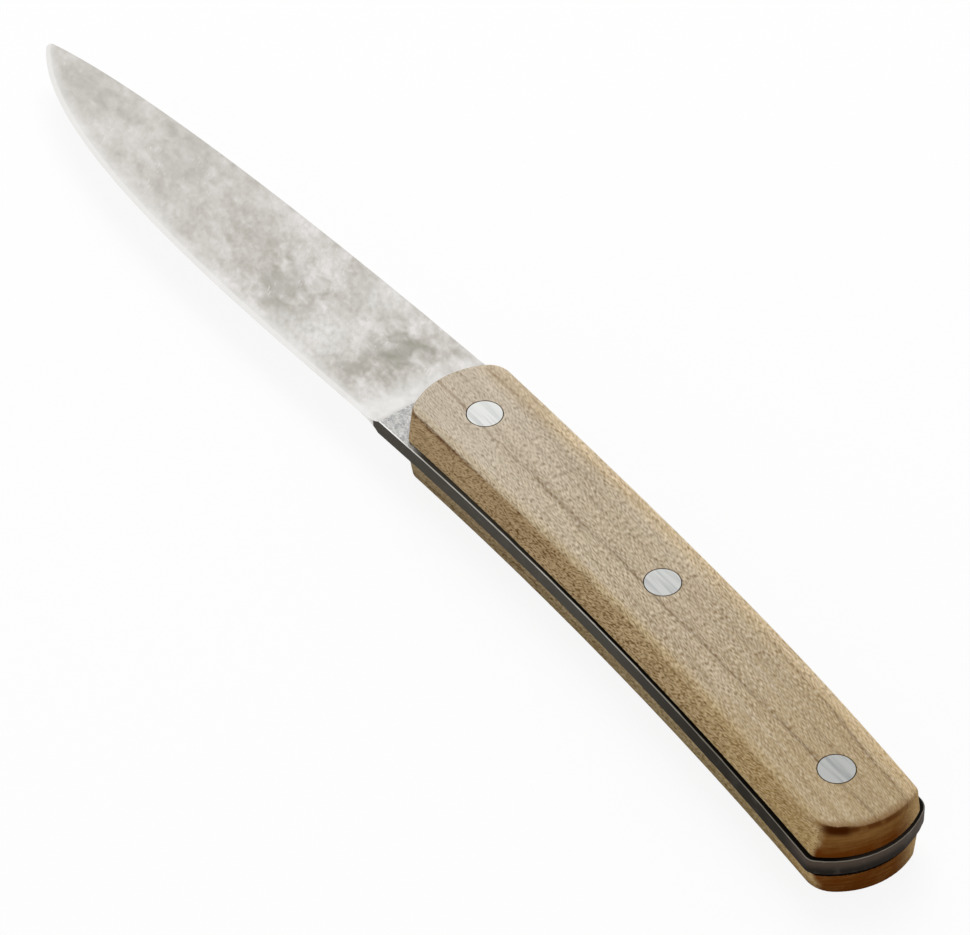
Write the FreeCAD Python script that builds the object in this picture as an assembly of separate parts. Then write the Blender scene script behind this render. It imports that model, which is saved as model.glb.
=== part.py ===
"""A full-tang paring knife: a ground blade, two wooden handle scales and three two-part rivets.

It is drawn lying flat, in millimetres: X runs along the handle towards the tip, Y runs across it towards
the cutting edge and Z is up. While it is drawn, X = 0 is the middle of the scales' length, Y = 0 is the line
through the middle rivet and Z = 0 is the middle of the tang. At the end the whole knife is moved so that its
origin is the middle of its outline, on the face that it rests on.
"""

import FreeCAD, Part
import math
import os

from FreeCAD import Vector

# Blade and tang
tang_thickness = 2.5
tang_side_margin = 0.45      # how far the tang stands out past the scales at the waist and the crown
tang_butt_margin = 0.5       # the same at the butt
tang_butt_belly_corner = 1.6
tang_butt_spine_corner = 2.5
tang_arris = 0.2             # radius of the worn arris round the tang
belly_height = 9.32          # from the middle rivet to the tang's waist
belly_radius = 665.0
waist_x = 0.3
spine_height = 8.81          # from the middle rivet to the crown of the tang's spine
spine_rear_radius = 930.0
spine_front_radius = 1168.0
crown_x = -2.0
blade_reach = 98.58          # from the front of the scales to the tip, before the tip is rounded
tip_drop = 6.18              # the tip's distance below the middle rivet
tip_radius = 0.65
heel_setout = 1.55           # from the front of the scales to the heel
edge_heel_pull = 25.1
edge_tip_pull = 21.1
edge_tip_angle = 38.3
spine_heel_pull = 4.0
spine_tip_pull = 23.5
spine_tip_angle = 19.4

# Grinds on each side of the blade
grind_setout = 4.4           # from the front of the scales to where the flat grind starts
grind_half_angle = 2.3
plunge_radius = 4.5          # the wheel that runs the flat grind out into the tang
heel_straight = 0.5          # straight stretch of the edge in front of both run-outs
behind_edge_thickness = 0.45
bevel_half_angle = 14.0
bevel_wheel_radius = 1.5
edge_land = 0.1

# Handle scales
scale_thickness = 5.0
scale_length = 101.4
scale_side_lean = 1.05       # how far the long sides lean in from the tang to the outer face
scale_end_lean = 0.2
scale_belly_radius = 760.0
scale_spine_rear_radius = 600.0
scale_spine_front_radius = 1400.0
butt_radius = 12.9           # at the tang
butt_centre_y = 1.2
butt_face_radius = 11.5      # at the outer face
butt_face_centre_y = 0.6
front_radius = 12.4
front_centre_y = 1.0
butt_spine_corner = 1.5
butt_belly_corner = 1.3      # at the tang
butt_belly_face_corner = 4.4
front_spine_corner = 3.5
front_belly_corner = 1.3     # at the tang
front_belly_face_corner = 2.0
scale_rim_radius = 0.55
scale_inner_arris = 0.25     # chamfer on the edge that lies on the tang

# Rivets, each a socket pressed over a stud
rivet_head_diameter = 5.0
rivet_head_depth = 1.8
rivet_tube_diameter = 3.2
rivet_pin_diameter = 2.0
rivet_head_clearance = 0.15  # round the head, on the radius
rivet_tube_clearance = 0.05  # round the tube, on the radius
rivet_end_clearance = 0.4    # between the tube's end and the stud's head, and past the pin's end
rivet_pin_lead = 0.3
front_rivet_setback = 9.8    # from the front of the scales
rear_rivet_setback = 10.9    # from the butt of the scales
rivet_row_drop = 1.2         # how much nearer to the belly the outer rivets sit

UP = Vector(0, 0, 1)
half_tang = tang_thickness / 2
half_knife = half_tang + scale_thickness
scale_front = scale_length / 2
scale_butt = -scale_length / 2
heel_x = scale_front + heel_setout
grind_x = scale_front + grind_setout
bevel_x = grind_x + bevel_wheel_radius
butt_centre = Vector(scale_butt + butt_radius, butt_centre_y, 0)
front_centre = Vector(scale_front - front_radius, front_centre_y, 0)
front_rivet_x = scale_front - front_rivet_setback
rear_rivet_x = scale_butt + rear_rivet_setback
seat_height = half_knife - rivet_head_depth   # of a rivet head's seat, from the middle of the tang
rivet_places = {
    "front": Vector(front_rivet_x, rivet_row_drop, 0),
    "middle": Vector((front_rivet_x + rear_rivet_x) / 2, 0, 0),
    "rear": Vector(rear_rivet_x, rivet_row_drop, 0),
}


# Handle curves

def belly_circle(radius, inset):
    """The hollow curve under the fingers, of the tang or set in from it."""
    centre = Vector(waist_x, belly_height + radius, 0)
    return Part.Circle(centre, UP, radius + inset)


def spine_circle(radius, inset):
    """The rear or the front half of the arched back, of the tang or set in from it, level at the crown."""
    centre = Vector(crown_x, radius - spine_height, 0)
    return Part.Circle(centre, UP, radius - inset)


def crossing(circle, other, near):
    """The point where two circles cross, nearest to a given one."""
    points = [Vector(p.X, p.Y, p.Z) for p in circle.intersectCC(other)]
    return min(points, key=near.distanceToPoint)


def on_circle(circle, x, near_y):
    """The point of a circle at an X, on the side of near_y."""
    rise = math.sqrt(circle.Radius ** 2 - (x - circle.Center.x) ** 2)
    return Vector(x, circle.Center.y + math.copysign(rise, near_y - circle.Center.y), 0)


def arc(circle, start, end):
    """The short way round a circle between two of its points, as an edge."""
    outward = (start + end) / 2 - circle.Center
    middle = circle.Center + outward.normalize() * circle.Radius
    return Part.Arc(start, middle, end).toShape()


def heading(circle, point):
    """The direction of a circle at one of its points, towards the tip."""
    along = UP.cross(point - circle.Center).normalize()
    return along if along.x > 0 else -along


def slope(angle):
    """A unit direction in the drawing plane, at an angle in degrees from X towards Y."""
    return Vector(math.cos(math.radians(angle)), math.sin(math.radians(angle)), 0)


def curve(start, start_pull, end_pull, end):
    """A cubic curve that leaves start and reaches end along the given pulls."""
    bezier = Part.BezierCurve()
    bezier.setPoles([start, start + start_pull, end - end_pull, end])
    return bezier.toShape()


def steep(direction):
    """Whether a direction points more up or down than along the drawing plane."""
    return abs(direction.z) > math.hypot(direction.x, direction.y)


def upright_edge(shape, place):
    """The edge of a shape that rises nearest to a place."""
    rising = [e for e in shape.Edges if steep(e.tangentAt(e.FirstParameter))]
    return min(rising, key=lambda e: min(v.Point.distanceToPoint(place) for v in e.Vertexes))


# Blade

tip = Vector(scale_front + blade_reach, tip_drop, 0)


def cutting_edge():
    """The heel, the end of its straight stretch, and the edge from there to the tip."""
    belly = belly_circle(belly_radius, 0)
    heel = on_circle(belly, heel_x, belly_height)
    along = heading(belly, heel)
    straight_end = heel + along * ((bevel_x + heel_straight - heel.x) / along.x)
    sweep = curve(straight_end, along * edge_heel_pull, slope(-edge_tip_angle) * edge_tip_pull, tip)
    return heel, straight_end, sweep


def blank():
    """The flat blank: tang and blade in one outline, with its corners rounded and its arrises broken."""
    belly = belly_circle(belly_radius, 0)
    spine_rear = spine_circle(spine_rear_radius, 0)
    spine_front = spine_circle(spine_front_radius, 0)
    butt = Part.Circle(butt_centre, UP, butt_radius + tang_butt_margin)
    heel, straight_end, edge_sweep = cutting_edge()
    crown = Vector(crown_x, -spine_height, 0)
    shoulder = on_circle(spine_front, heel_x, -spine_height)
    butt_belly = crossing(belly, butt, Vector(scale_butt, belly_height, 0))
    butt_spine = crossing(spine_rear, butt, Vector(scale_butt, -spine_height, 0))
    along_spine = heading(spine_front, shoulder)
    spine_sweep = curve(
        shoulder, along_spine * spine_heel_pull, slope(spine_tip_angle) * spine_tip_pull, tip
    )
    outline = Part.Wire(Part.__sortEdges__([
        arc(belly, butt_belly, heel),
        Part.LineSegment(heel, straight_end).toShape(),
        edge_sweep,
        spine_sweep,
        arc(spine_front, shoulder, crown),
        arc(spine_rear, crown, butt_spine),
        arc(butt, butt_spine, butt_belly),
    ]))
    plate = Part.Face(outline).extrude(UP * tang_thickness)
    plate.translate(UP * -half_tang)
    for corner, radius in (
        (butt_belly, tang_butt_belly_corner),
        (butt_spine, tang_butt_spine_corner),
        (tip, tip_radius),
    ):
        plate = plate.makeFillet(radius, [upright_edge(plate, corner - UP * half_tang)])
    rims = [e for f in plate.Faces if steep(f.normalAt(0, 0)) for e in f.OuterWire.Edges]
    return plate.makeFillet(tang_arris, rims)


def grinding(half_angle, half_thickness, start_x, wheel_radius):
    """What a grind takes off the upper side: everything above a face that rises from the cutting edge.

    The face starts half_thickness above the middle at the edge and slopes up towards the spine. Behind
    start_x it curls up round the wheel.
    """
    heel, straight_end, sweep = cutting_edge()
    along = (straight_end - heel).normalize()
    rear = heel + along * ((start_x - wheel_radius - heel.x) / along.x)
    overrun = tang_thickness
    beyond_tip = tip + slope(-edge_tip_angle) * overrun
    path = Part.Wire([
        Part.LineSegment(rear, straight_end).toShape(),
        sweep,
        Part.LineSegment(tip, beyond_tip).toShape(),
    ])
    rise = Vector(0, -1, math.tan(math.radians(half_angle)))
    path.translate(UP * half_thickness - rise * overrun)
    across = 2 * (belly_height + spine_height)
    strips = path.extrude(rise * across).Faces
    blocks = [strip.extrude(UP * 2 * (wheel_radius + tang_thickness)) for strip in strips]
    stock = blocks[0].multiFuse(blocks[1:]).removeSplitter()
    back = min(stock.Faces, key=lambda f: f.CenterOfMass.x)
    sloping = [e for e in back.Edges if not steep(e.tangentAt(e.FirstParameter))]
    foot = min(sloping, key=lambda e: e.CenterOfMass.z)
    return stock.makeFillet(wheel_radius, [foot])


def blade():
    """The blank, ground flat from spine to edge on both sides, bevelled, and drilled for the rivets."""
    flat = grinding(grind_half_angle, behind_edge_thickness / 2, grind_x, plunge_radius)
    bevel = grinding(bevel_half_angle, edge_land / 2, bevel_x, bevel_wheel_radius)
    shape = blank()
    for tool in (flat, bevel):
        shape = shape.cut(tool)
        shape = shape.cut(tool.mirror(Vector(0, 0, 0), UP))
    hole_radius = rivet_tube_diameter / 2 + rivet_tube_clearance
    for place in rivet_places.values():
        shape = shape.cut(Part.makeCylinder(hole_radius, tang_thickness, place - UP * half_tang, UP))
    return shape.Solids[0]


# Handle scales

def bar(start_x, end_x):
    """A stretch of the squared bar that a scale is shaped from."""
    width = 2 * (belly_height + spine_height)
    return Part.makeBox(end_x - start_x, width, scale_thickness, Vector(start_x, -width / 2, half_tang))


def tapered(circle, lean):
    """A round block on a scale's foot, narrowed by the lean at its outer face, seam to mid-handle."""
    block = Part.makeCone(
        circle.Radius, circle.Radius - lean, scale_thickness, circle.Center + UP * half_tang, UP
    )
    if circle.Center.x > 0:
        block.rotate(circle.Center, UP, 180)
    return block


def skewed(circle, face_circle):
    """A round block that runs from one circle on a scale's foot to another at its outer face."""
    foot = Part.Wire(circle.toShape())
    foot.translate(UP * half_tang)
    face = Part.Wire(face_circle.toShape())
    face.translate(UP * half_knife)
    return Part.makeLoft([foot, face], True, True)


def round_corner(shape, corner, radius_at_tang, radius_at_face):
    """A scale with one of its rising corners rounded, by a radius that may change on the way up."""
    edge = upright_edge(shape, corner)
    radii = [radius_at_tang, radius_at_face]
    if edge.valueAt(edge.FirstParameter).z > edge.valueAt(edge.LastParameter).z:
        radii.reverse()
    return shape.makeFillet(*radii, [edge])


def left_scale():
    """The scale on the left of the tang, shaped from a bar and counterbored for the rivet heads."""
    belly = belly_circle(scale_belly_radius, tang_side_margin)
    spine_rear = spine_circle(scale_spine_rear_radius, tang_side_margin)
    spine_front = spine_circle(scale_spine_front_radius, tang_side_margin)
    butt = Part.Circle(butt_centre, UP, butt_radius)
    butt_face_centre = Vector(scale_butt + scale_end_lean + butt_face_radius, butt_face_centre_y, 0)
    butt_face = Part.Circle(butt_face_centre, UP, butt_face_radius)
    front = Part.Circle(front_centre, UP, front_radius)
    bar_butt = scale_butt - scale_thickness
    bar_front = scale_front + scale_thickness
    shape = bar(bar_butt, bar_front).cut(tapered(belly, -scale_side_lean))
    for start_x, end_x, block in (
        (bar_butt, crown_x, tapered(spine_rear, scale_side_lean)),
        (crown_x, bar_front, tapered(spine_front, scale_side_lean)),
        (bar_butt, butt_centre.x, skewed(butt, butt_face)),
        (front_centre.x, bar_front, tapered(front, scale_end_lean)),
    ):
        shape = shape.cut(bar(start_x, end_x).cut(block))
    shape = shape.Solids[0]
    foot = UP * half_tang
    butt_belly = crossing(belly, butt, Vector(scale_butt, belly_height, 0)) + foot
    butt_spine = crossing(spine_rear, butt, Vector(scale_butt, -spine_height, 0)) + foot
    front_belly = crossing(belly, front, Vector(scale_front, belly_height, 0)) + foot
    front_spine = crossing(spine_front, front, Vector(scale_front, -spine_height, 0)) + foot
    shape = round_corner(shape, butt_belly, butt_belly_corner, butt_belly_face_corner)
    shape = round_corner(shape, butt_spine, butt_spine_corner, butt_spine_corner)
    shape = round_corner(shape, front_belly, front_belly_corner, front_belly_face_corner)
    shape = round_corner(shape, front_spine, front_spine_corner, front_spine_corner)
    outer = max(shape.Faces, key=lambda f: f.CenterOfMass.z)
    shape = shape.makeFillet(scale_rim_radius, outer.OuterWire.Edges)
    inner = min(shape.Faces, key=lambda f: f.CenterOfMass.z)
    shape = shape.makeChamfer(scale_inner_arris, inner.OuterWire.Edges)
    head_radius = rivet_head_diameter / 2 + rivet_head_clearance
    tube_radius = rivet_tube_diameter / 2 + rivet_tube_clearance
    for place in rivet_places.values():
        shape = shape.cut(Part.makeCylinder(tube_radius, half_knife, place, UP))
        shape = shape.cut(Part.makeCylinder(head_radius, rivet_head_depth, place + UP * seat_height, UP))
    return shape.Solids[0]


# Rivets

shank_length = 2 * seat_height - rivet_end_clearance


def rivet_socket(place):
    """The upper half: a flush head with a tube under it."""
    seat = place + UP * seat_height
    head = Part.makeCylinder(rivet_head_diameter / 2, rivet_head_depth, seat, UP)
    tube = Part.makeCylinder(rivet_tube_diameter / 2, shank_length, seat, -UP)
    bore = Part.makeCylinder(rivet_pin_diameter / 2, shank_length, seat, -UP)
    return head.fuse(tube).cut(bore).removeSplitter().Solids[0]


def rivet_stud(place):
    """The lower half: a flush head with a pin that fills the tube above it."""
    seat = place - UP * seat_height
    head = Part.makeCylinder(rivet_head_diameter / 2, rivet_head_depth, seat, -UP)
    pin = Part.makeCylinder(rivet_pin_diameter / 2, shank_length, seat, UP)
    pin_end = max(pin.Edges, key=lambda e: e.CenterOfMass.z)
    pin = pin.makeChamfer(rivet_pin_lead, [pin_end])
    return head.fuse(pin).removeSplitter().Solids[0]


# Assembly

scale = left_scale()
pieces = {
    "blade": blade(),
    "left_handle_scale": scale,
    "right_handle_scale": scale.mirror(Vector(0, 0, 0), UP),
}
for name, place in rivet_places.items():
    pieces[name + "_rivet_socket"] = rivet_socket(place)
    pieces[name + "_rivet_stud"] = rivet_stud(place)

outline_box = pieces["blade"].optimalBoundingBox()
to_origin = Vector(-outline_box.Center.x, -outline_box.Center.y, half_knife)

os.makedirs("parts", exist_ok=True)
for name, shape in pieces.items():
    shape.translate(to_origin)
    shape.exportStep("parts/" + name + ".step")
    box = shape.optimalBoundingBox()
    print(f"{name}: valid {shape.isValid()}, solids {len(shape.Solids)}, volume {shape.Volume:.1f} mm3, "
          f"{box.XLength:.2f} x {box.YLength:.2f} x {box.ZLength:.2f} mm from z {box.ZMin:.2f}")
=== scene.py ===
"""A paring knife on a pale floor: stonewashed blade, oiled beech scales and flush aluminium rivets."""

import logging
import math
from dataclasses import dataclass
from enum import Enum

import bmesh
import bpy
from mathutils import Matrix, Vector

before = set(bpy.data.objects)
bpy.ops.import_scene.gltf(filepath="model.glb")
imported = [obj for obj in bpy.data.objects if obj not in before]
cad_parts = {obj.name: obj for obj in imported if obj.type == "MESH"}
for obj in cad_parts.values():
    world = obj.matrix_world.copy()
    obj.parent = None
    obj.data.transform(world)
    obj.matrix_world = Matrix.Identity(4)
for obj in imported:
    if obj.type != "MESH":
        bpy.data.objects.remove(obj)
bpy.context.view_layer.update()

LOG = logging.getLogger("paring_knife")

Point = tuple[float, float, float]
Zone = tuple[float, float]
Tint = tuple[int, int, int]
Colour = tuple[float, float, float, float]
Socket = bpy.types.NodeSocket
Paint = Tint | Socket

MM = 0.001
WHITE: Colour = (1.0, 1.0, 1.0, 1.0)

# The height of the knife's middle plane, in millimetres.
MID_HEIGHT = 6.25

# The mean of a noise, and a number above 1 that keeps a root away from 0.
NOISE_MIDDLE = 0.5
ABOVE_ONE = 1.001

# How the steel's clouds drift, how it was tumbled, and how the wood's grain runs, in degrees.
DRIFT: Point = (0.0, 0.0, -10.0)
TUMBLE: Point = (0.0, 0.0, -36.0)
ALONG_GRAIN: Point = (0.0, 0.0, -2.5)

# The curve from a screen's colours to linear ones.
SCREEN_WHITE = 255
TOE_END = 0.04045
TOE_SLOPE = 12.92
CURVE_OFFSET = 0.055
CURVE_POWER = 2.4


class Side(Enum):
    """The two scales, named as they lie when the tip points away and the edge down."""

    LEFT = "left"
    RIGHT = "right"


class Station(Enum):
    """Where a rivet stands along the handle."""

    FRONT = "front"
    MIDDLE = "middle"
    REAR = "rear"


class Half(Enum):
    """The two halves of a rivet."""

    SOCKET = "socket"
    STUD = "stud"


class Blend(Enum):
    """How one colour is laid over another."""

    COVER = "MIX"
    TINT = "MULTIPLY"


def linear(tint: Tint) -> Colour:
    """Turns a colour as a screen shows it into the linear colour that a shader takes.

    Args:
        tint: Red, green and blue from 0 to 255.

    Returns:
        The linear colour with an alpha of 1.
    """

    def channel(value: float) -> float:
        """One channel of it."""
        if value <= TOE_END:
            return value / TOE_SLOPE
        return ((value + CURVE_OFFSET) / (1 + CURVE_OFFSET)) ** CURVE_POWER

    return (*(channel(part / SCREEN_WHITE) for part in tint), 1.0)


class Field:
    """A number that varies over a surface: a place, a noise, or a mask from 0 to 1."""

    def __init__(self, socket: Socket) -> None:
        """Keeps the socket that gives the number."""
        self.socket = socket

    def __add__(self, other: "Field | float") -> "Field":
        """The sum."""
        return compute("ADD", self, other)

    def __sub__(self, other: "Field | float") -> "Field":
        """The difference."""
        return compute("SUBTRACT", self, other)

    def __rsub__(self, other: float) -> "Field":
        """The difference from a number."""
        return compute("SUBTRACT", other, self)

    def __mul__(self, other: "Field | float") -> "Field":
        """The product, which for masks is 1 only where both are."""
        return compute("MULTIPLY", self, other)

    def __truediv__(self, other: "Field | float") -> "Field":
        """The quotient."""
        return compute("DIVIDE", self, other)

    def __abs__(self) -> "Field":
        """The size without its sign."""
        return compute("ABSOLUTE", self)

    def either(self, other: "Field") -> "Field":
        """The larger, which for masks is 1 where one of them is."""
        return compute("MAXIMUM", self, other)

    def step(self, zone: Zone) -> "Field":
        """A soft step between two values of this field.

        Args:
            zone: Where the result is 0 and where it is 1, whichever is higher.

        Returns:
            The mask.
        """
        node = self.socket.id_data.nodes.new("ShaderNodeMapRange")
        node.interpolation_type = "SMOOTHSTEP"
        rising = zone[0] < zone[1]
        node.inputs["From Min"].default_value = min(zone)
        node.inputs["From Max"].default_value = max(zone)
        node.inputs["To Min"].default_value = 0.0 if rising else 1.0
        node.inputs["To Max"].default_value = 1.0 if rising else 0.0
        feed(self, node.inputs["Value"])
        return Field(node.outputs["Result"])

    def span(self, ends: Zone) -> "Field":
        """Stretches a mask so that 0 and 1 become the two ends."""
        return self * (ends[1] - ends[0]) + ends[0]

    def sway(self, reach: "Field | float") -> "Field":
        """A noise as a swing about 0, as wide as the reach."""
        return (self - NOISE_MIDDLE) * reach


Source = Field | Socket | float | Colour


def feed(source: Source, target: Socket) -> None:
    """Links a field or a socket to an input, or writes a constant on it.

    Args:
        source: What the input takes.
        target: The input.
    """
    if isinstance(source, Field):
        source = source.socket
    if isinstance(source, Socket):
        target.id_data.links.new(source, target)
    else:
        target.default_value = source


def compute(operation: str, *terms: Field | float) -> Field:
    """One arithmetic step.

    Args:
        operation: Blender's name of the step.
        terms: What it takes, at least one of them a field.

    Returns:
        The result.
    """
    tree = next(term for term in terms if isinstance(term, Field)).socket.id_data
    node = tree.nodes.new("ShaderNodeMath")
    node.operation = operation
    for term, target in zip(terms, node.inputs):
        feed(term, target)
    return Field(node.outputs["Value"])


@dataclass(frozen=True)
class Grain:
    """A pattern of cloudy noise.

    Attributes:
        size: Length of one feature along its own three axes, in millimetres.
        turn: How far the pattern is turned about X, Y and Z, in degrees.
        shift: Where the pattern's origin lies, in millimetres.
        detail: How many finer layers are added.
        roughness: How strong the finer layers are.
        warp: How far the noise bends itself.
    """

    size: Point
    turn: Point = (0.0, 0.0, 0.0)
    shift: Point = (0.0, 0.0, 0.0)
    detail: float = 2.0
    roughness: float = 0.5
    warp: float = 0.0


class FinishTree:
    """A material's node tree, the colour painted on it so far, and where its surface lies.

    Attributes:
        along, across, high: The place on the piece along X, Y and Z, in millimetres.
        depth: How far the surface lies from the knife's middle plane, in millimetres.
        tipward, sideward, upward: The way the surface faces.
        level: 1 on faces that lie flat and 0 on upright ones.
    """

    def __init__(self, name: str) -> None:
        """Starts a material with its surface shader.

        Args:
            name: The finish's name.
        """
        self.material = bpy.data.materials.new(name)
        self.material.use_nodes = True
        self.tree = self.material.node_tree
        self.shader = self.tree.nodes["Principled BSDF"]
        self.place = self.tree.nodes.new("ShaderNodeTexCoord")
        self.colour: Paint = (SCREEN_WHITE, SCREEN_WHITE, SCREEN_WHITE)
        self.noises: dict[Grain, Field] = {}
        self.along, self.across, self.high = (part * (1 / MM) for part in self.axes("Object"))
        self.tipward, self.sideward, self.upward = self.axes("Normal")
        self.depth = abs(self.high - MID_HEIGHT)
        self.level = abs(self.upward)

    def surface(self, **inputs: Source) -> None:
        """Feeds the surface shader's inputs, with underscores for the spaces in their names."""
        for name, source in inputs.items():
            feed(source, self.shader.inputs[name.replace("_", " ")])

    def axes(self, kind: str) -> tuple[Field, Field, Field]:
        """The X, Y and Z parts of a coordinate.

        Args:
            kind: Object for the place on the piece, or Normal for the way its surface faces.

        Returns:
            The three fields.
        """
        node = self.tree.nodes.new("ShaderNodeSeparateXYZ")
        feed(self.place.outputs[kind], node.inputs["Vector"])
        return Field(node.outputs["X"]), Field(node.outputs["Y"]), Field(node.outputs["Z"])

    def reach(self, point: Point) -> Field:
        """How far a surface lies from a point, both in millimetres."""
        node = self.tree.nodes.new("ShaderNodeVectorMath")
        node.operation = "DISTANCE"
        feed(self.place.outputs["Object"], node.inputs[0])
        node.inputs[1].default_value = [v * MM for v in point]
        return Field(node.outputs["Value"]) * (1 / MM)

    def noise(self, grain: Grain) -> Field:
        """Cloudy noise on Object coordinates, made once for each grain.

        Args:
            grain: The pattern.

        Returns:
            The noise, from 0 to 1.
        """
        if grain not in self.noises:
            mapping = self.tree.nodes.new("ShaderNodeMapping")
            mapping.vector_type = "TEXTURE"
            mapping.inputs["Location"].default_value = [v * MM for v in grain.shift]
            mapping.inputs["Rotation"].default_value = [math.radians(v) for v in grain.turn]
            mapping.inputs["Scale"].default_value = [v * MM for v in grain.size]
            feed(self.place.outputs["Object"], mapping.inputs["Vector"])
            node = self.tree.nodes.new("ShaderNodeTexNoise")
            node.inputs["Scale"].default_value = 1.0
            node.inputs["Detail"].default_value = grain.detail
            node.inputs["Roughness"].default_value = grain.roughness
            node.inputs["Distortion"].default_value = grain.warp
            feed(mapping.outputs["Vector"], node.inputs["Vector"])
            self.noises[grain] = Field(node.outputs["Fac"])
        return self.noises[grain]

    def mix(self, mask: Field, below: Paint, above: Paint, blend: Blend = Blend.COVER) -> Socket:
        """Blends two colours.

        Args:
            mask: How much of the upper colour shows.
            below: The colour below.
            above: The colour above.
            blend: How they are blended.

        Returns:
            The colour socket.
        """
        node = self.tree.nodes.new("ShaderNodeMixRGB")
        node.blend_type = blend.value
        feed(mask, node.inputs["Fac"])
        for paint, target in ((below, "Color1"), (above, "Color2")):
            feed(paint if isinstance(paint, Socket) else linear(paint), node.inputs[target])
        return node.outputs["Color"]

    def paint(self, mask: Field, paint: Paint, blend: Blend = Blend.COVER) -> None:
        """Lays a colour over the colour so far.

        Args:
            mask: Where and how strongly it is laid.
            paint: The colour.
            blend: How it is blended.
        """
        self.colour = self.mix(mask, self.colour, paint, blend)

    def ramp(self, value: Field, *stops: tuple[float, Tint]) -> Socket:
        """A colour ramp.

        Args:
            value: The value that picks the colour.
            stops: Each stop's place from 0 to 1 and its tint.

        Returns:
            The colour socket.
        """
        node = self.tree.nodes.new("ShaderNodeValToRGB")
        points = node.color_ramp.elements
        while len(points) < len(stops):
            points.new(1.0)
        for point, (place, tint) in zip(points, stops):
            point.position = place
            point.color = linear(tint)
        feed(value, node.inputs["Fac"])
        return node.outputs["Color"]

    def relief(self, height: Field, depth: float) -> None:
        """Gives the surface a fine relief.

        Args:
            height: The relief from 0 to 1.
            depth: Its depth in millimetres.
        """
        node = self.tree.nodes.new("ShaderNodeBump")
        node.inputs["Strength"].default_value = 1.0
        node.inputs["Distance"].default_value = depth * MM
        feed(height, node.inputs["Height"])
        feed(node.outputs["Normal"], self.shader.inputs["Normal"])


@dataclass(frozen=True)
class Stain:
    """A soft cloud on the blade, dark patina or a painted highlight (gleam), in millimetres."""

    along: float
    across: float
    reach: float
    strength: float


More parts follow.
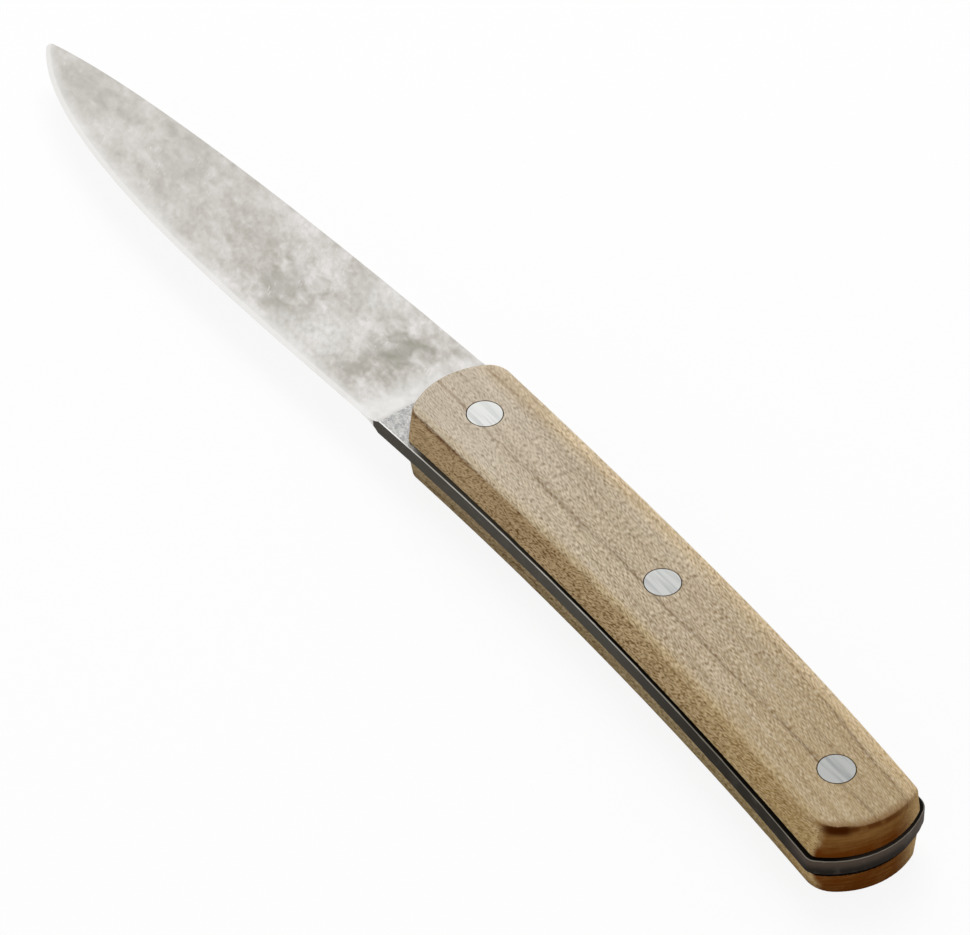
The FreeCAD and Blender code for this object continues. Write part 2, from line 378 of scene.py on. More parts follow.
@dataclass(frozen=True)
class StonewashedSteel:
    """Tumbled carbon steel: mottled flats, bright ground edge and a dark forge skin on the tang's edges.

    A zone says where a mask is 0 and where it is 1, and a share how strongly something shows.
    Places are in millimetres.
    """

    dark: Tint = (181, 177, 168)
    middle: Tint = (207, 203, 197)
    light: Tint = (229, 226, 224)
    stain: Tint = (136, 134, 120)
    ground: Tint = (240, 239, 237)
    bare: Tint = (164, 164, 163)
    rubbed: Tint = (200, 199, 196)
    skin: Tint = (73, 69, 62)
    old_skin: Tint = (35, 30, 22)
    butt_skin: Tint = (79, 68, 59)
    pit: Tint = (92, 84, 76)
    # Near-black for grime together with painted shade.
    grime_and_shade: Tint = (12, 10, 8)
    worn: Tint = (250, 249, 246)
    half_worn_highlight: Tint = (222, 220, 212)
    hardly_worn_highlight: Tint = (150, 146, 134)

    # Patterns.
    clouds: Grain = Grain((10.0, 6.5, 6.5), DRIFT, detail=4.0, warp=0.35)
    patches: Grain = Grain((2.9, 1.8, 1.8), DRIFT, (3.0, 1.0, 0.0), warp=0.4)
    blotch: Grain = Grain((1.05, 0.75, 0.75), TUMBLE, detail=1.0)
    grit: Grain = Grain((0.42, 0.36, 0.36), TUMBLE, detail=1.0)
    scratches: Grain = Grain((1.6, 0.22, 0.22), (0.0, 0.0, -52.0), detail=1.0)
    scribbles: Grain = Grain((0.7, 0.7, 0.7), detail=1.0, warp=1.0)

    # The mottle of the flats, with its stains, painted highlights (gleams), scratches and a painted
    # sheen towards the tip.
    cloud_share: float = 0.5
    patch_share: float = 0.3
    blotch_share: float = 0.17
    grit_share: float = 0.03
    calmer: Zone = (15.0, 75.0)
    contrast: Zone = (1.1, 0.62)
    stops: tuple[float, ...] = (0.38, 0.5, 0.62)
    stains: tuple[Stain, ...] = (
        Stain(14.5, -2.2, 6.0, 0.42),
        Stain(34.5, 3.4, 7.0, 0.3),
        Stain(65.5, 0.5, 9.0, 0.17),
        Stain(88.0, 3.5, 7.5, 0.18),
    )
    # The gleams are painted highlights, laid in the ground tint.
    gleams: tuple[Stain, ...] = (
        Stain(23.5, 5.0, 7.0, 0.5),
        Stain(29.5, 8.5, 4.0, 0.35),
        Stain(25.0, -7.4, 6.5, 0.5),
        Stain(58.0, 9.0, 5.0, 0.3),
    )
    stain_fray: float = 1.6
    stain_core: float = 0.1
    stain_mottle: Zone = (0.4, 1.6)
    scratch_cut: Zone = (0.64, 0.74)
    scratched_clouds: Zone = (0.4, 0.6)
    scratch_share: float = 0.5
    # A painted sheen: the flats paler towards the tip.
    tip_sheen: Zone = (45.0, 85.0)
    tip_sheen_share: float = 0.1

    # The tang's bare face in front of the scales.
    full_depth: Zone = (1.17, 1.23)
    flat: Zone = (0.9, 0.98)
    rubbed_blotch: Zone = (0.3, 0.7)
    scribble_cut: Zone = (0.06, 0.01)
    scribble_share: float = 0.45

    # The edge bevel, the plunge and the run-out of the grind, brightened; on the plunge and run-out
    # partly polish, partly a painted highlight that fades towards the spine.
    bevel_depth: Zone = (0.33, 0.2)
    bevel_start: Zone = (5.0, 7.0)
    plunge_face: Zone = (0.02, 0.14)
    plunge_lean: Zone = (0.5, 0.7)
    run_out: Zone = (10.5, 6.2)
    polish_and_highlight_patches: Zone = (0.45, 1.25)
    polish_and_highlight_across: Zone = (-9.0, 2.0)
    polish_and_highlight_spine: Zone = (0.45, 1.0)
    ground_and_highlight_share: float = 0.85

    # The forge skin, older to the rear, with painted shade at the butt under the upper scale, and grime
    # and painted shade on the ledge beside the wood.
    skin_end: Zone = (4.97, 4.73)
    ground_face: Zone = (0.02, 0.1)
    ground_start: Zone = (0.0, 3.0)
    upright: Zone = (0.99, 0.95)
    ledge_start: Zone = (-2.0, -6.0)
    ledge_flat: Zone = (0.95, 0.99)
    older: Zone = (-44.0, -74.0)
    butt: Zone = (-89.0, -95.0)
    tang_butt_shade_along: Zone = (-88.0, -96.0)
    tang_butt_shade_high: Zone = (7.3, 5.5)
    tang_butt_shade_across: Zone = (-10.0, -3.0)
    tang_butt_shade_share: float = 0.85
    pitted_patches: Zone = (0.5, 0.75)
    pit_share: float = 0.25
    ledge_grime_shade_front: Zone = (-8.0, -46.0)
    ledge_grime_shade_rear: Zone = (-99.4, -97.0)
    ledge_grime_shade_share: Zone = (0.6, 1.0)

    # The worn arrises of the tang, painted bright as worn metal and as a painted highlight.
    half_worn_highlight_along: Zone = (1.0, -11.0)
    hardly_worn_highlight_along: Zone = (-46.0, -72.0)
    arris_wall: Zone = (0.5, 0.64)
    arris_flat: Zone = (0.97, 0.88)
    arris_patches: Zone = (0.45, 1.15)
    bared_along: Zone = (-10.0, 0.0)

    # The shine and the relief.
    roughness: Zone = (0.5, 0.34)
    skin_roughness: float = 0.15
    specular: float = 0.04
    blotch_relief: float = 0.5
    grit_relief: float = 0.4
    relief_depth: float = 0.012

    def mottled(self, tree: FinishTree) -> None:
        """Paints the tumbled flats with their stains, painted highlights (gleams), scratches and a
        painted sheen towards the tip.
        """
        clouds, patches, blotch = map(tree.noise, (self.clouds, self.patches, self.blotch))
        mottle = clouds * self.cloud_share + patches * self.patch_share
        mottle = mottle + blotch * self.blotch_share + tree.noise(self.grit) * self.grit_share
        mottle = mottle.sway(tree.along.step(self.calmer).span(self.contrast)) + NOISE_MIDDLE
        tree.colour = tree.ramp(mottle, *zip(self.stops, (self.dark, self.middle, self.light)))
        # Dark patina stains, then the gleams as painted highlights.
        for tint, spots in ((self.stain, self.stains), (self.ground, self.gleams)):
            for spot in spots:
                far = tree.reach((spot.along, spot.across, MID_HEIGHT))
                far = far + patches.sway(spot.reach * self.stain_fray)
                cloud = far.step((spot.reach, spot.reach * self.stain_core))
                tree.paint(cloud * (blotch.span(self.stain_mottle) * spot.strength), tint)
        scratch = tree.noise(self.scratches).step(self.scratch_cut)
        tree.paint(scratch * clouds.step(self.scratched_clouds) * self.scratch_share, self.ground)
        # A painted sheen, paler towards the tip.
        tree.paint(tree.along.step(self.tip_sheen) * self.tip_sheen_share, self.ground)

    def tang_face(self, tree: FinishTree) -> Field:
        """Paints the tang's bare face.

        Args:
            tree: The finish so far.

        Returns:
            The mask of that face.
        """
        tang = tree.depth.step(self.full_depth) * tree.level.step(self.flat)
        scribble = abs(tree.noise(self.scribbles) - NOISE_MIDDLE).step(self.scribble_cut)
        rubbing = tree.noise(self.blotch).step(self.rubbed_blotch)
        tree.paint(tang, tree.mix(rubbing, self.bare, self.rubbed))
        tree.paint(tang * scribble * self.scribble_share, self.worn)
        return tang

    def grinds(self, tree: FinishTree, tang: Field) -> None:
        """Paints what was ground last, the edge bevel, the plunge and the run-out, with polish and a
        painted highlight on the plunge and run-out that fades towards the spine.

        Args:
            tree: The finish so far.
            tang: The mask of the tang's face.
        """
        bevel = tree.depth.step(self.bevel_depth) * tree.along.step(self.bevel_start)
        plunge = tree.tipward.step(self.plunge_face) * tree.level.step(self.plunge_lean)
        run_out = tree.along.step(self.run_out) * (1 - tang) * tree.level.step(self.flat)
        # The plunge and run-out: polish plus a painted highlight, fading towards the spine.
        polish_and_highlight = plunge.either(run_out) * tree.noise(self.patches).span(self.polish_and_highlight_patches)
        polish_and_highlight = polish_and_highlight * tree.across.step(self.polish_and_highlight_across).span(self.polish_and_highlight_spine)
        tree.paint(bevel.either(polish_and_highlight) * self.ground_and_highlight_share, self.ground)

    def unground(self, tree: FinishTree) -> Field:
        """The mask of the tang's edge, which no wheel has touched."""
        ground = tree.tipward.step(self.ground_face) * tree.along.step(self.ground_start)
        return (1 - ground) * tree.along.step(self.skin_end)

    def forge_skin(self, tree: FinishTree, unground: Field) -> Field:
        """Paints the dark skin on the tang's edge, painted shade at its butt, and grime and painted
        shade on its ledge.

        Args:
            tree: The finish so far.
            unground: The mask of what was never ground.

        Returns:
            The mask of the skin.
        """
        wall = tree.level.step(self.upright) * unground
        ledge = tree.along.step(self.ledge_start) * tree.level.step(self.ledge_flat)
        skin = wall.either(ledge)
        dark = tree.mix(tree.along.step(self.older), self.skin, self.old_skin)
        dark = tree.mix(tree.along.step(self.butt), dark, self.butt_skin)
        # Painted shade on the tang's butt edge, darker towards the upper scale.
        tang_butt_shade = tree.along.step(self.tang_butt_shade_along) * tree.high.step(self.tang_butt_shade_high)
        tang_butt_shade = tang_butt_shade * tree.across.step(self.tang_butt_shade_across)
        dark = tree.mix(tang_butt_shade * self.tang_butt_shade_share, dark, self.grime_and_shade)
        pitted = tree.noise(self.patches).step(self.pitted_patches)
        tree.paint(skin, tree.mix(pitted * self.pit_share, dark, self.pit))
        # Grime and painted shade on the ledge beside the wood, lighter at the butt.
        ledge_grime_shade = ledge * tree.along.step(self.ledge_grime_shade_front)
        tree.paint(ledge_grime_shade * tree.along.step(self.ledge_grime_shade_rear).span(self.ledge_grime_shade_share), self.grime_and_shade)
        return skin

    def arrises(self, tree: FinishTree, unground: Field) -> Field:
        """Paints the worn arrises of the tang: bare metal and a painted highlight, dimmer to the rear.

        Args:
            tree: The finish so far.
            unground: The mask of what was never ground.

        Returns:
            The mask of the arris that is worn to bare metal.
        """
        # The arris is painted bright, part wear and part painted highlight, fading to the rear.
        worn_highlight = tree.mix(tree.along.step(self.half_worn_highlight_along), self.worn, self.half_worn_highlight)
        worn_highlight = tree.mix(tree.along.step(self.hardly_worn_highlight_along), worn_highlight, self.hardly_worn_highlight)
        arris = tree.level.step(self.arris_wall) * tree.level.step(self.arris_flat) * unground
        bared = arris * tree.along.step(self.bared_along)
        patchy = arris * tree.noise(self.patches).span(self.arris_patches)
        tree.paint(patchy.either(bared), worn_highlight)
        return bared

    def material(self) -> bpy.types.Material:
        """Builds the finish.

        Returns:
            The material for the blade.
        """
        tree = FinishTree("stonewashed_steel")
        self.mottled(tree)
        self.grinds(tree, self.tang_face(tree))
        unground = self.unground(tree)
        skin = self.forge_skin(tree, unground)
        bared = self.arrises(tree, unground)
        patches, blotch, grit = map(tree.noise, (self.patches, self.blotch, self.grit))
        tree.surface(
            Base_Color=tree.colour,
            Metallic=(1 - skin).either(bared),
            Roughness=patches.span(self.roughness) + skin * self.skin_roughness,
            Specular_IOR_Level=self.specular,
        )
        tree.relief(patches + blotch * self.blotch_relief + grit * self.grit_relief, self.relief_depth)
        return tree.material


@dataclass(frozen=True)
class GrowthRing:
    """A growth ring's dark line along the outer face, in millimetres from mid-handle."""

    middle: float
    lean: float
    bow: float
    strength: float


@dataclass(frozen=True)
class OiledBeech:
    """Oiled beech with short flecks along the grain, thin growth rings, golden sides and a dark butt.

    A zone says where a mask is 0 and where it is 1, and a share how strongly something shows.
    Places are in millimetres.
    """

    front_tone_and_sheen: Tint = (217, 205, 186)
    rear_tone: Tint = (192, 169, 129)
    golden_and_lit: Tint = (244, 216, 170)
    top_rim_shade_tint: Tint = (242, 233, 208)
    fleck: Tint = (112, 86, 56)
    bright: Tint = (238, 227, 208)
    ring: Tint = (122, 96, 66)
    side: Tint = (216, 198, 168)
    rear_side_lit: Tint = (241, 230, 205)
    under_side_shade: Tint = (230, 237, 242)
    end_grain: Tint = (128, 91, 48)
    deep_end: Tint = (96, 50, 12)
    under_rim_shade_tint: Tint = (84, 42, 10)
    burn: Tint = (60, 24, 2)
    grime_and_shade: Tint = (14, 11, 8)

    # Patterns.
    tone: Grain = Grain((45.0, 7.0, 7.0), ALONG_GRAIN, warp=0.3)
    wander: Grain = Grain((16.0, 40.0, 40.0), ALONG_GRAIN)
    breaks: Grain = Grain((9.0, 1.2, 1.2), ALONG_GRAIN)
    streak: Grain = Grain((22.0, 1.3, 1.3), ALONG_GRAIN)
    fibre: Grain = Grain((7.0, 0.24, 0.24), ALONG_GRAIN)
    flat_dash: Grain = Grain((0.72, 0.106, 0.106), (0.0, 0.0, -9.0), detail=0.5)
    side_dash: Grain = Grain((0.62, 0.15, 0.15), (0.0, 15.0, 0.0), detail=0.5)
    ragged: Grain = Grain((0.7, 0.4, 0.4), roughness=0.6)
    layers: Grain = Grain((5.0, 5.0, 0.42), (0.0, 8.0, 0.0), detail=3.0)
    blots: Grain = Grain((2.5, 1.6, 2.2))

    # Where the scale lies: its faces' heights from the middle plane, and the arcs of its rims.
    tang_half: float = 1.25
    outer_face: float = 6.25
    handle_middle: float = -48.0
    wall_lean: Zone = (0.9, 0.4)
    belly_centre: Point = (-48.37, 766.43, 12.5)
    belly_rim: float = 761.5
    spine_centre: Point = (-50.67, 588.3, 12.5)
    spine_rim: float = 598.5
    butt_centre: Point = (-87.67, -2.29, 12.5)
    butt_rim: float = 11.5

    # The tone, paler at the front with a painted sheen, the growth rings and the painted golden
    # highlight along the spine rim.
    front_sheen_fade: Zone = (16.0, -104.0)
    tone_share: float = 0.7
    rings: tuple[GrowthRing, ...] = (
        GrowthRing(-0.6, 0.006, 0.0, 0.7),
        GrowthRing(-4.4, -0.004, 0.0004, 0.3),
        GrowthRing(-8.95, -0.011, 0.001, 0.8),
    )
    ring_dip: float = 0.6
    ring_wander: float = 1.6
    ring_inside: Zone = (-0.25, 0.05)
    ring_outside: Zone = (0.6, 0.05)
    break_cut: Zone = (0.33, 0.6)
    break_share: Zone = (0.3, 1.0)
    spine_fray: float = 1.2
    spine_rim_light_width: Zone = (3.2, 0.3)
    spine_rim_light_along: Zone = (2.0, -22.0)
    spine_rim_light_share: Zone = (0.25, 0.65)

    # The streaks, flecks and fibres, which are livelier in the middle of the handle.
    dark_streak: Zone = (0.45, 0.75)
    dark_streak_share: float = 0.22
    bright_streak: Zone = (0.5, 0.25)
    bright_streak_share: float = 0.2
    dark_fleck: Zone = (0.47, 0.7)
    dark_fleck_share: float = 0.85
    bright_fleck: Zone = (0.53, 0.3)
    bright_fleck_share: float = 0.6
    lively_front: Zone = (4.0, -30.0)
    front_share: Zone = (0.62, 1.0)
    lively_rear: Zone = (-98.0, -62.0)
    rear_share: Zone = (0.6, 1.0)
    wall_share: Zone = (0.9, 1.0)
    dull_share: float = 0.2
    fibre_cut: Zone = (0.45, 0.8)
    fibre_share: float = 0.3

    # The sides, lighter to the rear as painted light, with painted shade on the lower scale and near the
    # tang, and painted shade on the top along the belly rim.
    side_along: Zone = (-20.0, -80.0)
    under_side_shade_along: Zone = (-94.0, -84.0)
    near_tang_shade_depth: Zone = (3.6, 1.6)
    near_tang_shade_front: Zone = (-25.0, -48.0)
    near_tang_shade_rear: Zone = (-84.0, -60.0)
    near_tang_shade_share: float = 0.16
    belly_fray: float = 0.6
    top_rim_shade_width: Zone = (1.9, 0.3)
    top_rim_shade_front: Zone = (-8.0, -48.0)
    top_rim_shade_front_share: Zone = (0.5, 1.0)
    top_rim_shade_rear: Zone = (-100.0, -60.0)
    top_rim_shade_rear_share: Zone = (0.5, 0.8)

    # The painted shade line under the front of the rim.
    under_rim_fray: float = 0.7
    under_rim_face: Zone = (0.3, 0.6)
    under_rim_along: Zone = (-24.0, -8.0)
    under_rim_below: Zone = (1.0, 0.3)
    under_rim_above: Zone = (-0.06, 0.18)
    under_rim_cut: Zone = (0.36, 0.62)
    under_rim_share: Zone = (0.35, 0.8)

    # The end grain of the butt, with painted shade under its rim and on the top along its rim, burnt at
    # one corner, and that of the front.
    butt_fray: float = 0.4
    butt_face: Zone = (-0.25, -0.7)
    butt_lean: Zone = (1.0, 0.8)
    butt_across: Zone = (-9.0, -3.0)
    butt_share: Zone = (0.2, 1.0)
    end_high: Zone = (8.0, 11.4)
    end_high_share: float = 0.9
    end_lower_share: float = 0.2
    end_layers: float = 1.3
    end_blots: float = 0.8
    under_butt_rim_below: Zone = (1.2, 0.3)
    under_butt_rim_blots: Zone = (0.25, 0.55)
    under_butt_rim_across: Zone = (-9.0, -1.0)
    under_butt_rim_share: float = 0.8
    butt_top_shade_width: Zone = (1.8, 0.4)
    butt_top_shade_along: Zone = (-92.0, -95.0)
    butt_top_shade_flat: Zone = (0.5, 0.8)
    butt_top_shade_share: float = 0.7
    burn_centre: Point = (-97.3, 4.6, 12.5)
    burn_fray: float = 1.6
    burn_reach: Zone = (3.0, 1.0)
    burn_lean: Zone = (1.0, 0.95)
    burn_below: Zone = (1.7, 0.6)
    burn_share: float = 0.95
    front_face: Zone = (0.5, 0.8)
    front_end_share: float = 0.5

    # The grime and painted shade in the joint with the tang.
    gap_fray: Zone = (1.2, 0.4)
    tang_shadow_reach: float = 0.9
    gap_edge: Zone = (1.39, 1.29)

    # The shine and the relief.
    roughness: Zone = (0.5, 0.66)
    specular: float = 0.0
    relief_depth: float = 0.09

    def broken(self, tree: FinishTree) -> Field:
        """The mask that breaks long lines along the grain."""
        return tree.noise(self.breaks).step(self.break_cut).span(self.break_share)

    def lower(self, tree: FinishTree) -> Field:
        """The mask of the lower scale."""
        return tree.high.step((MID_HEIGHT, MID_HEIGHT - self.tang_half))

    def below_rim(self, tree: FinishTree) -> Field:
        """How far the surface lies below the outer face, in millimetres."""
        return self.outer_face - tree.depth

    def grown(self, tree: FinishTree) -> None:
        """Paints the wood's tone, paler at the front with a painted sheen, its growth rings and a
        painted golden highlight along the spine rim.
        """
        tone = tree.noise(self.tone)
        # Paler and greyer at the front as a painted sheen; darker and more golden to the rear.
        toward_rear_tone = tree.along.step(self.front_sheen_fade) + tone.sway(self.tone_share)
        tree.colour = tree.mix(toward_rear_tone, self.front_tone_and_sheen, self.rear_tone)
        from_middle = tree.along - self.handle_middle
        leaning = tree.across + (tree.high - MID_HEIGHT - self.outer_face) * self.ring_dip
        leaning = leaning + tree.noise(self.wander).sway(self.ring_wander)
        for ring in self.rings:
            line = leaning - from_middle * ring.lean - from_middle * from_middle * ring.bow - ring.middle
            thin = line.step(self.ring_inside) * line.step(self.ring_outside) * self.broken(tree)
            tree.paint(thin * ring.strength, self.ring)
        # A painted golden highlight along the spine rim.
        from_spine = self.spine_rim - tree.reach(self.spine_centre) + tone.sway(self.spine_fray)
        spine_rim_light = from_spine.step(self.spine_rim_light_width) * tree.along.step(self.spine_rim_light_along).span(self.spine_rim_light_share)
        tree.paint(spine_rim_light, self.golden_and_lit)

    def flecked(self, tree: FinishTree, wall: Field) -> tuple[Field, Field]:
        """Paints the streaks, the short flecks and the fibres.

        Args:
            tree: The finish so far.
            wall: The mask of the sides.

        Returns:
            The flecks' pattern, and the mask of where they are lively.
        """
        streak, flat_dash, side_dash = map(tree.noise, (self.streak, self.flat_dash, self.side_dash))
        short = flat_dash + (side_dash - flat_dash) * wall
        lively = tree.along.step(self.lively_front).span(self.front_share)
        lively = lively * tree.along.step(self.lively_rear).span(self.rear_share)
        painted = lively * wall.span(self.wall_share)
        tree.paint(streak.step(self.dark_streak) * self.dark_streak_share, self.fleck)
        tree.paint(streak.step(self.bright_streak) * self.bright_streak_share, self.bright)
        tree.paint(short.step(self.dark_fleck) * painted * self.dark_fleck_share, self.fleck)
        tree.paint(short.step(self.bright_fleck) * painted * self.bright_fleck_share, self.bright)
        tree.paint((1 - lively) * self.dull_share, self.fleck)
        tree.paint(tree.noise(self.fibre).step(self.fibre_cut) * self.fibre_share, self.fleck)
        return short, lively

    def sides(self, tree: FinishTree, wall: Field) -> None:
        """Paints the golden sides, lighter to the rear as painted light, with painted shade on the lower
        scale and near the tang, and painted shade on the top along the belly rim.

        Args:
            tree: The finish so far.
            wall: The mask of the sides.
        """
        lower = self.lower(tree)
        upper = 1 - lower
        # The sides' golden tint, lighter to the rear as painted light.
        golden_and_lit = tree.mix(tree.along.step(self.side_along), self.side, self.rear_side_lit)
        tree.paint(wall, golden_and_lit, Blend.TINT)
        # Painted shade on the lower scale's sides, except at the butt.
        tree.paint(wall * lower * tree.along.step(self.under_side_shade_along), self.under_side_shade, Blend.TINT)
        # Painted shade on the upper scale's sides near the tang.
        near_tang_shade = wall * upper * tree.depth.step(self.near_tang_shade_depth)
        near_tang_shade = near_tang_shade * tree.along.step(self.near_tang_shade_front) * tree.along.step(self.near_tang_shade_rear)
        tree.paint(near_tang_shade * self.near_tang_shade_share, self.fleck)
        from_belly = tree.reach(self.belly_centre) - self.belly_rim
        from_belly = from_belly + tree.noise(self.tone).sway(self.belly_fray)
        # Painted shade on the top along the belly rim, mostly to the rear, so the rim looks rounder.
        top_rim_shade = from_belly.step(self.top_rim_shade_width) * (1 - wall)
        top_rim_shade = top_rim_shade * tree.along.step(self.top_rim_shade_front).span(self.top_rim_shade_front_share)
        top_rim_shade = top_rim_shade * tree.along.step(self.top_rim_shade_rear).span(self.top_rim_shade_rear_share)
        tree.paint(top_rim_shade * upper, self.top_rim_shade_tint, Blend.TINT)

    def under_rim_shaded(self, tree: FinishTree) -> None:
        """Paints a ragged line of painted shade under the front of the upper scale's rim."""
        ragged = tree.noise(self.ragged)
        uneven = tree.noise(self.streak) + ragged - 2 * NOISE_MIDDLE
        below = self.below_rim(tree) - uneven * self.under_rim_fray
        # A ragged, broken line of painted shade under the front of the rim.
        under_rim_shade = tree.sideward.step(self.under_rim_face) * tree.along.step(self.under_rim_along)
        under_rim_shade = under_rim_shade * below.step(self.under_rim_below) * below.step(self.under_rim_above)
        under_rim_shade = under_rim_shade * ragged.step(self.under_rim_cut).span(self.under_rim_share)
        tree.paint(under_rim_shade * (1 - self.lower(tree)) * self.broken(tree), self.under_rim_shade_tint)

    def ends(self, tree: FinishTree) -> None:
        """Paints the end grain: the butt with painted shade under its rim and a burnt corner, painted
        shade on the top along the butt's rim, and the front.
        """
        lower = self.lower(tree)
        upper = 1 - lower
        below_rim = self.below_rim(tree)
        layers, blots = map(tree.noise, (self.layers, self.blots))
        spineward = tree.across.step(self.butt_across)
        backward = tree.tipward / compute("SQRT", ABOVE_ONE - tree.upward * tree.upward)
        butt = (backward + blots.sway(self.butt_fray)).step(self.butt_face)
        butt = butt * tree.level.step(self.butt_lean) * spineward.span(self.butt_share)
        tone = tree.high.step(self.end_high) * self.end_high_share + lower * self.end_lower_share
        tone = tone + layers.sway(self.end_layers) + blots.sway(self.end_blots)
        brown = tree.mix(tone, self.deep_end, self.end_grain)
        # Painted shade under the butt's rim.
        under_butt_rim_shade = below_rim.step(self.under_butt_rim_below) * blots.step(self.under_butt_rim_blots)
        under_butt_rim_shade = under_butt_rim_shade * tree.across.step(self.under_butt_rim_across)
        brown = tree.mix(under_butt_rim_shade * upper * self.under_butt_rim_share, brown, self.under_rim_shade_tint)
        # Painted shade on the top along the butt's rim, in the end grain's colour.
        from_butt = self.butt_rim - tree.reach(self.butt_centre)
        butt_top_shade = from_butt.step(self.butt_top_shade_width) * tree.along.step(self.butt_top_shade_along)
        butt_top_shade = butt_top_shade * tree.level.step(self.butt_top_shade_flat) * spineward
        tree.paint(butt_top_shade * upper * self.butt_top_shade_share, self.end_grain)
        tree.paint(butt, brown)
        from_burn = tree.reach(self.burn_centre) + blots.sway(self.burn_fray)
        burnt = from_burn.step(self.burn_reach) * tree.level.step(self.burn_lean)
        burnt = burnt * below_rim.step(self.burn_below)
        tree.paint(burnt * upper * self.burn_share, self.burn)
        tree.paint(tree.tipward.step(self.front_face) * self.front_end_share, self.end_grain)

    def joint(self, tree: FinishTree) -> None:
        """Paints the ragged line of grime and painted shade in the joint with the tang, with the tang's
        painted shadow further down the lower scale.
        """
        lower = self.lower(tree)
        # Grime and painted shade in the joint, reaching further down the lower scale as the tang's
        # painted shadow.
        fray = tree.noise(self.ragged).sway(lower.span(self.gap_fray))
        edge = tree.depth - fray - lower * self.tang_shadow_reach
        tree.paint(edge.step(self.gap_edge), self.grime_and_shade)

    def material(self) -> bpy.types.Material:
        """Builds the finish.

        Returns:
            The material for both scales.
        """
        tree = FinishTree("oiled_beech")
        wall = tree.level.step(self.wall_lean)
        self.grown(tree)
        short, lively = self.flecked(tree, wall)
        self.sides(tree, wall)
        self.under_rim_shaded(tree)
        self.ends(tree)
        self.joint(tree)
        tree.surface(
            Base_Color=tree.colour,
            Roughness=short.span(self.roughness),
            Specular_IOR_Level=self.specular,
        )
        tree.relief(short * lively, self.relief_depth)
        return tree.material


@dataclass(frozen=True)
class BrushedAluminium:
    """Aluminium ground flush with the wood, with fine streaks along the handle, darker to the rear as
    painted shade.
    """

    bright: Tint = (232, 233, 230)
    bright_streak: Tint = (204, 206, 205)
    rear_shaded: Tint = (186, 187, 184)
    rear_shaded_streak: Tint = (160, 162, 162)
    fine: Grain = Grain((6.0, 0.16, 0.16))
    broad: Grain = Grain((12.0, 0.7, 0.7), (0.0, 0.0, 2.0))
    each_share: float = 0.5
    stops: tuple[float, ...] = (0.38, 0.56)
    rear_shade: Zone = (0.0, -96.0)
    roughness: Zone = (0.34, 0.46)
    relief_depth: float = 0.003

    def material(self) -> bpy.types.Material:
        """Builds the finish.

        Returns:
            The material for all rivets.
        """
        tree = FinishTree("brushed_aluminium")
        fine, broad = map(tree.noise, (self.fine, self.broad))
        mark = (fine + broad) * self.each_share
        front_tone_and_sheen = tree.ramp(mark, *zip(self.stops, (self.bright_streak, self.bright)))
        # The rear ramp below is painted shade, darker to the rear; it is not wear.
        worn = tree.ramp(mark, *zip(self.stops, (self.rear_shaded_streak, self.rear_shaded)))
        tree.surface(
            Base_Color=tree.mix(tree.along.step(self.rear_shade), front_tone_and_sheen, worn),
            Metallic=1.0,
            Roughness=fine.span(self.roughness),
        )
        tree.relief(fine, self.relief_depth)
        return tree.material


@dataclass
class Blade:
    """The blade and its full tang, one forging."""

    node: str = "blade"

    def dress(self, finish: bpy.types.Material) -> None:
        """Gives the forging its finish.

        Args:
            finish: The steel's material.
        """
        wear(self.node, finish)


@dataclass
class HandleScale:
    """One wooden scale of the handle."""

    side: Side

    def dress(self, finish: bpy.types.Material) -> None:
        """Gives the scale its finish.

        Args:
            finish: The wood's material.
        """
        wear(f"{self.side.value}_handle_scale", finish)


@dataclass
class Rivet:
    """A two-part rivet: a socket half and a stud half."""

    station: Station

    def dress(self, finish: bpy.types.Material) -> None:
        """Gives both halves their finish.

        Args:
            finish: The rivet metal's material.
        """
        for half in Half:
            wear(f"{self.station.value}_rivet_{half.value}", finish)


def wear(node: str, finish: bpy.types.Material) -> None:
    """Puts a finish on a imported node.

    Args:
        node: The node's name.
        finish: Its new material.
    """
    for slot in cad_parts[node].material_slots:
        slot.material = finish
    LOG.info("%s wears %s", node, finish.name)


@dataclass(frozen=True)
class SoftBox:
    """A large soft lamp that no surface mirrors, in metres and watts."""

    name: str
    stand: Point
    width: float
    height: float
    watts: float

    def build(self, aim: Vector) -> bpy.types.Object:
        """Makes the lamp and points it.

        Args:
            aim: What the lamp looks at.

        Returns:
            The lamp's object.
        """
        lamp = bpy.data.lights.new(self.name, "AREA")
        lamp.shape = "RECTANGLE"
        lamp.size = self.width
        lamp.size_y = self.height
        lamp.energy = self.watts
        stand = bpy.data.objects.new(self.name, lamp)
        stand.location = self.stand
        stand.visible_glossy = False
        stand.rotation_euler = (aim - Vector(self.stand)).to_track_quat("-Z", "Y").to_euler()
        bpy.context.scene.collection.objects.link(stand)
        return stand


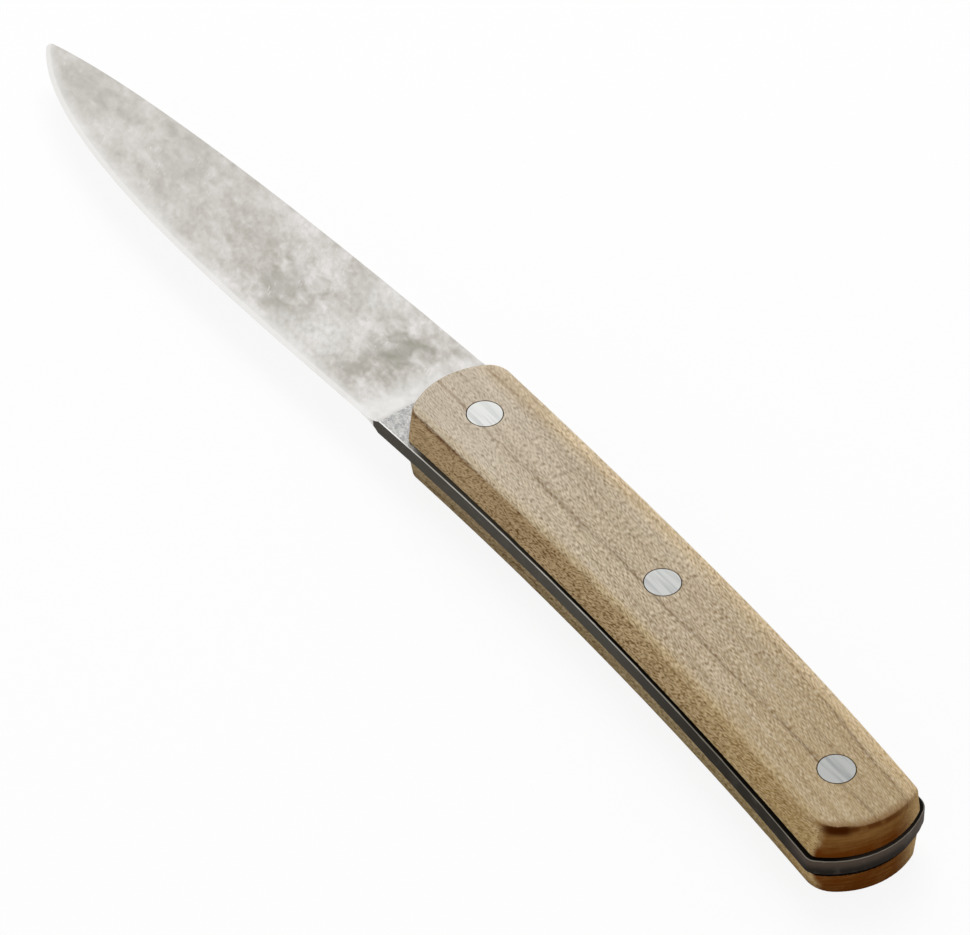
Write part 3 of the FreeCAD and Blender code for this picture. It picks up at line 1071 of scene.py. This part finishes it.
@dataclass
class Studio:
    """The pale floor, the white surround and the lamps, in metres."""

    floor_reach: float = 3.0
    floor_gap: float = 0.00005
    floor_paint: Colour = (0.95, 0.95, 0.95, 1.0)
    floor_white: float = 0.88
    ambient: float = 0.48
    aim: Point = (-0.01, 0.0, 0.006)
    lamps: tuple[SoftBox, ...] = (
        SoftBox("overhead", (0.4, -0.3, 0.9), 0.6, 0.6, 5.0),
        SoftBox("tip_side", (1.1, -0.5, 0.5), 0.8, 0.6, 2.7),
        SoftBox("belly_side", (-0.6, 0.9, 0.35), 0.8, 0.5, 2.0),
    )

    def seen(self, tree: bpy.types.NodeTree) -> Field:
        """A mask of 1 for rays that look at the surround, straight or in a reflection."""
        path = tree.nodes.new("ShaderNodeLightPath")
        mask = Field(path.outputs["Is Camera Ray"])
        for kind in ("Is Glossy Ray", "Is Transmission Ray"):
            mask = mask.either(Field(path.outputs[kind]))
        return mask

    def surround(self) -> None:
        """Makes the white surround, which lights the object at the ambient level."""
        world = bpy.data.worlds.new("white_surround")
        bpy.context.scene.world = world
        world.use_nodes = True
        background = world.node_tree.nodes["Background"]
        background.inputs["Color"].default_value = WHITE
        feed(self.seen(world.node_tree).span((self.ambient, 1.0)), background.inputs["Strength"])

    def floor_finish(self) -> bpy.types.Material:
        """Paints the floor: matt white that keeps the shadow, and paler where it is looked at.

        Returns:
            The floor's material.
        """
        material = bpy.data.materials.new("pale_floor")
        material.use_nodes = True
        tree = material.node_tree
        tree.nodes.remove(tree.nodes["Principled BSDF"])
        paint = tree.nodes.new("ShaderNodeBsdfDiffuse")
        paint.inputs["Color"].default_value = self.floor_paint
        glow = tree.nodes.new("ShaderNodeEmission")
        both = tree.nodes.new("ShaderNodeMixShader")
        feed(self.seen(tree) * self.floor_white, both.inputs["Fac"])
        feed(paint.outputs["BSDF"], both.inputs[1])
        feed(glow.outputs["Emission"], both.inputs[2])
        feed(both.outputs["Shader"], tree.nodes["Material Output"].inputs["Surface"])
        return material

    def floor(self) -> bpy.types.Object:
        """Lays the floor just under the knife.

        Returns:
            The floor's object.
        """
        sheet = bmesh.new()
        bmesh.ops.create_grid(sheet, x_segments=1, y_segments=1, size=self.floor_reach)
        bmesh.ops.translate(sheet, verts=sheet.verts, vec=(0, 0, -self.floor_gap))
        mesh = bpy.data.meshes.new("floor")
        sheet.to_mesh(mesh)
        sheet.free()
        mesh.materials.append(self.floor_finish())
        floor = bpy.data.objects.new("floor", mesh)
        bpy.context.scene.collection.objects.link(floor)
        return floor

    def build(self) -> None:
        """Makes the floor, the surround and the lamps."""
        self.surround()
        self.floor()
        for lamp in self.lamps:
            lamp.build(Vector(self.aim))


@dataclass(frozen=True)
class PhotoCamera:
    """The camera where the photograph was taken from.

    Its places are in metres, its sensor in millimetres, and its focal length in the photograph's pixels.
    """

    eye: Point = (-0.48019, 0.32363, 0.56758)
    aim: Point = (-0.01130, 0.00071, 0.00625)
    focal_pixels: float = 5771.0
    photo_width: int = 970
    sensor: float = 36.0

    def build(self) -> bpy.types.Object:
        """Makes the camera and looks through it.

        Returns:
            The camera's object.
        """
        lens = bpy.data.cameras.new("photo_camera")
        lens.sensor_fit = "HORIZONTAL"
        lens.sensor_width = self.sensor
        lens.lens = self.focal_pixels * self.sensor / self.photo_width
        camera = bpy.data.objects.new("photo_camera", lens)
        camera.location = self.eye
        camera.rotation_euler = (Vector(self.aim) - Vector(self.eye)).to_track_quat("-Z", "Y").to_euler()
        bpy.context.scene.collection.objects.link(camera)
        bpy.context.scene.camera = camera
        return camera


def main() -> None:
    """Dresses the knife, lights it and looks at it as the photograph does."""
    logging.basicConfig(level=logging.INFO, format="%(message)s")
    bpy.context.scene.view_settings.view_transform = "Standard"
    Blade().dress(StonewashedSteel().material())
    wood = OiledBeech().material()
    for side in Side:
        HandleScale(side).dress(wood)
    metal = BrushedAluminium().material()
    for station in Station:
        Rivet(station).dress(metal)
    Studio().build()
    PhotoCamera().build()


if __name__ == "__main__":
    main()
